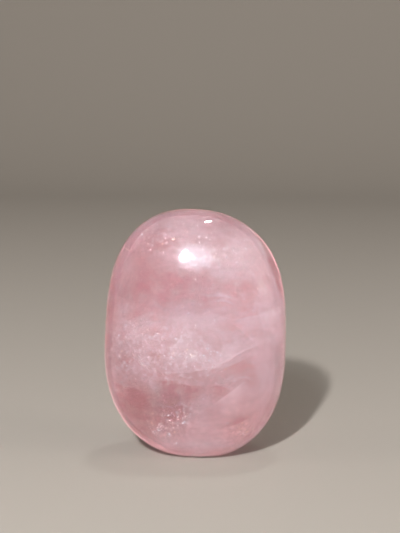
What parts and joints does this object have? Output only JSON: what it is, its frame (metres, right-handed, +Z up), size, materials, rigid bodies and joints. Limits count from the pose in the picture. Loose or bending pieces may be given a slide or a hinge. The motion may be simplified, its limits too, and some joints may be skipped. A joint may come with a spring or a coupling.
{
  "type": "rose quartz palm stone",
  "caption": "Polished oval palm stone of cloudy rose quartz with domed faces and a full round rim, standing on a small flat spot at one end.",
  "frame": {"origin": "on the surface that the stone stands on, at the middle of its width and thickness", "axes": "+Z up along the stone's long axis, X across its width, Y through its thickness; the face seen in the picture looks along -Y"},
  "size_m": [0.051, 0.032, 0.07],
  "materials": {
    "rose_quartz": "polished"
  },
  "bodies": {
    "root": {"palm_stone": "rose_quartz"}
  },
  "joints": []
}
